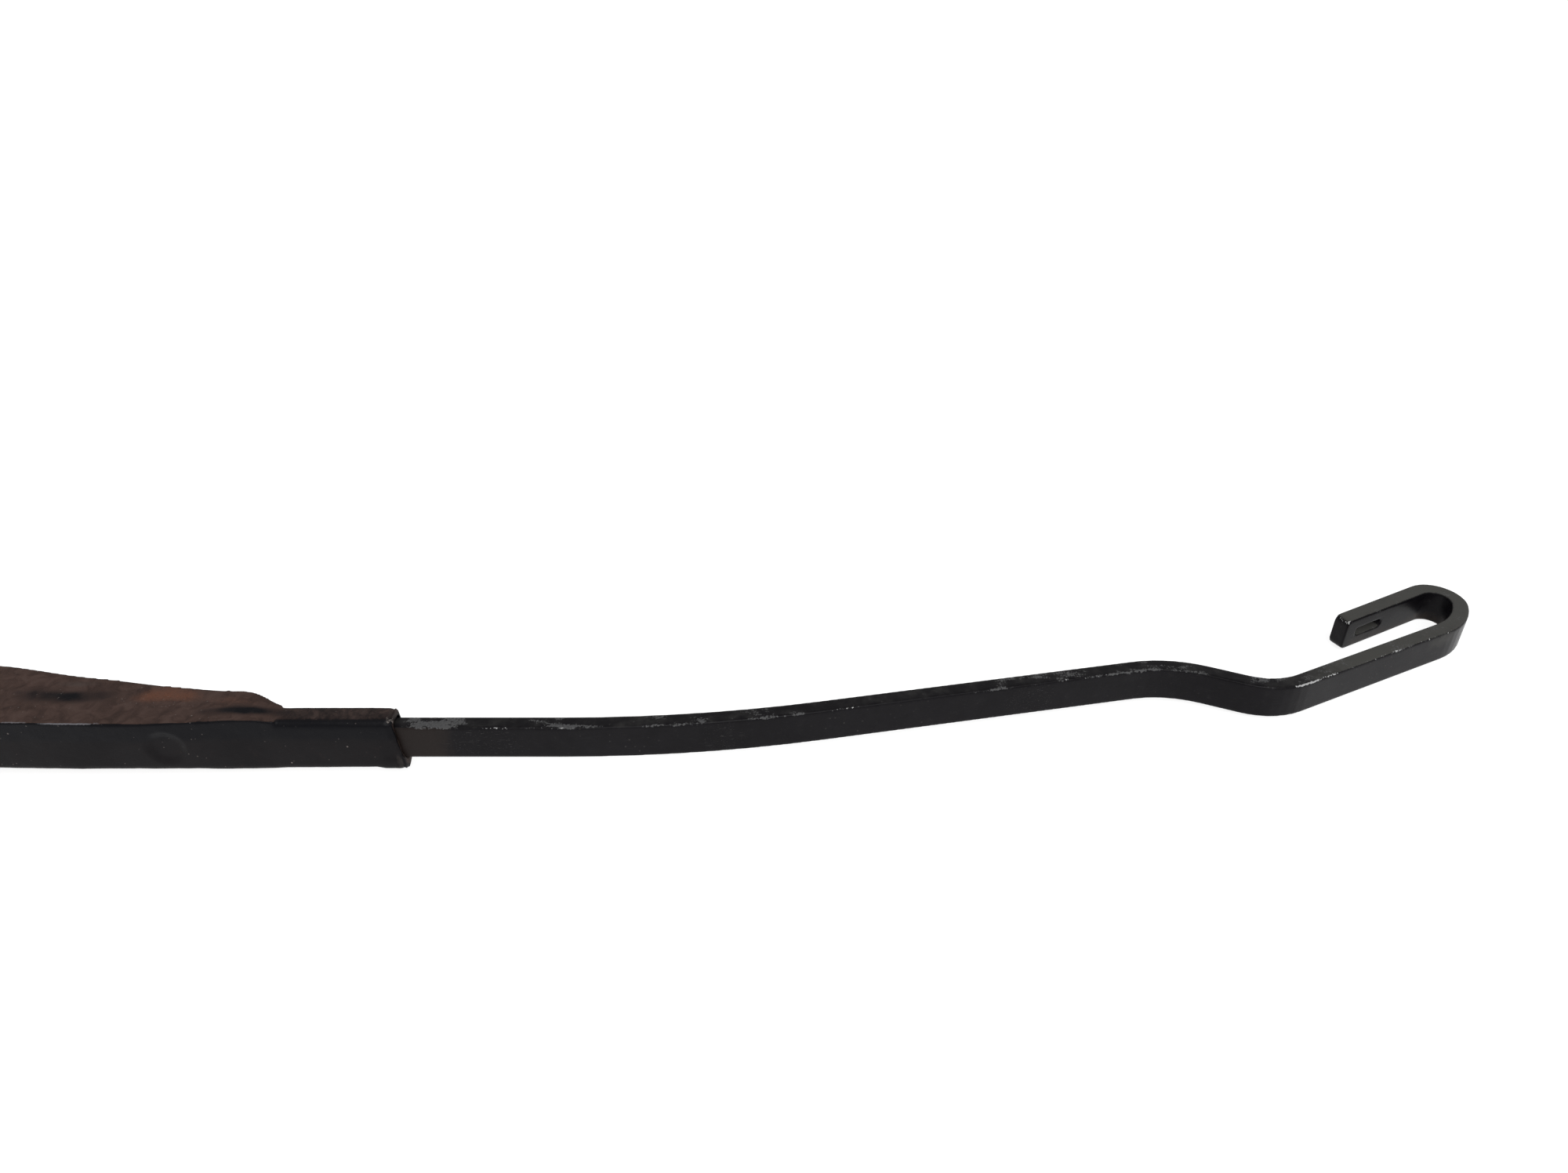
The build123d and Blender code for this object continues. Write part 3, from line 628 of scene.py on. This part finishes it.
# ---------------------------------------------------------------- CAD nodes that stay
ZINC, DULL = rgb(0.36, 0.35, 0.33), rgb(0.15, 0.145, 0.14)
pin_steel = worn_steel("pin_steel", ZINC, DULL, 0.25)
link_steel = worn_steel("link_steel", rgb(0.22, 0.21, 0.20), rgb(0.09, 0.085, 0.08), 0.5)
acetal = bush_plastic()
KEPT_NODES = (("hinge_pin", pin_steel), ("link_pin", pin_steel), ("spring_link", link_steel),
              ("hinge_bush_upper", acetal), ("hinge_bush_lower", acetal))
for node, material in KEPT_NODES:
    for i in range(len(NODES[node].material_slots)):
        NODES[node].material_slots[i].material = material

# ---------------------------------------------------------------- floor and light
FLOOR_Z, FLOOR_SLOPE, FLOOR_HALF = -12.003 * MM, 0.01585, 4.0
floor_mesh = bpy.data.meshes.new("floor")
corners = [(FLOOR_HALF * sx, FLOOR_HALF * sy) for sx, sy in ((-1, -1), (1, -1), (1, 1), (-1, 1))]
floor_mesh.from_pydata([(x, y, FLOOR_Z + FLOOR_SLOPE * x) for x, y in corners], [], [(0, 1, 2, 3)])
floor = link("floor", floor_mesh)
paper = bpy.data.materials.new("paper")
paper.use_nodes = True
paper_shader = paper.node_tree.nodes["Principled BSDF"]
paper_shader.inputs["Base Color"].default_value = rgb(0.30, 0.30, 0.30)
paper_shader.inputs["Roughness"].default_value = 0.9
paper_shader.inputs["Specular IOR Level"].default_value = 0.1
paper_shader.inputs["Emission Color"].default_value = rgb(1, 1, 1)
paper_shader.inputs["Emission Strength"].default_value = 0.86
floor_mesh.materials.append(paper)

key_light = bpy.data.lights.new("key_light", "SUN")
key_light.energy, key_light.angle = 1.5, radians(40)
key = bpy.data.objects.new("key_light", key_light)
key.rotation_euler = Vector((0.12, -0.62, 0.78)).to_track_quat("Z", "Y").to_euler()
SCENE.collection.objects.link(key)

world = bpy.data.worlds.new("studio")
world.use_nodes = True
sky = world.node_tree
room = sky.nodes["Background"]
room.inputs["Color"].default_value = rgb(1, 1, 1)
room.inputs["Strength"].default_value = 0.55
SCENE.world = world
SCENE.view_settings.view_transform = "Standard"
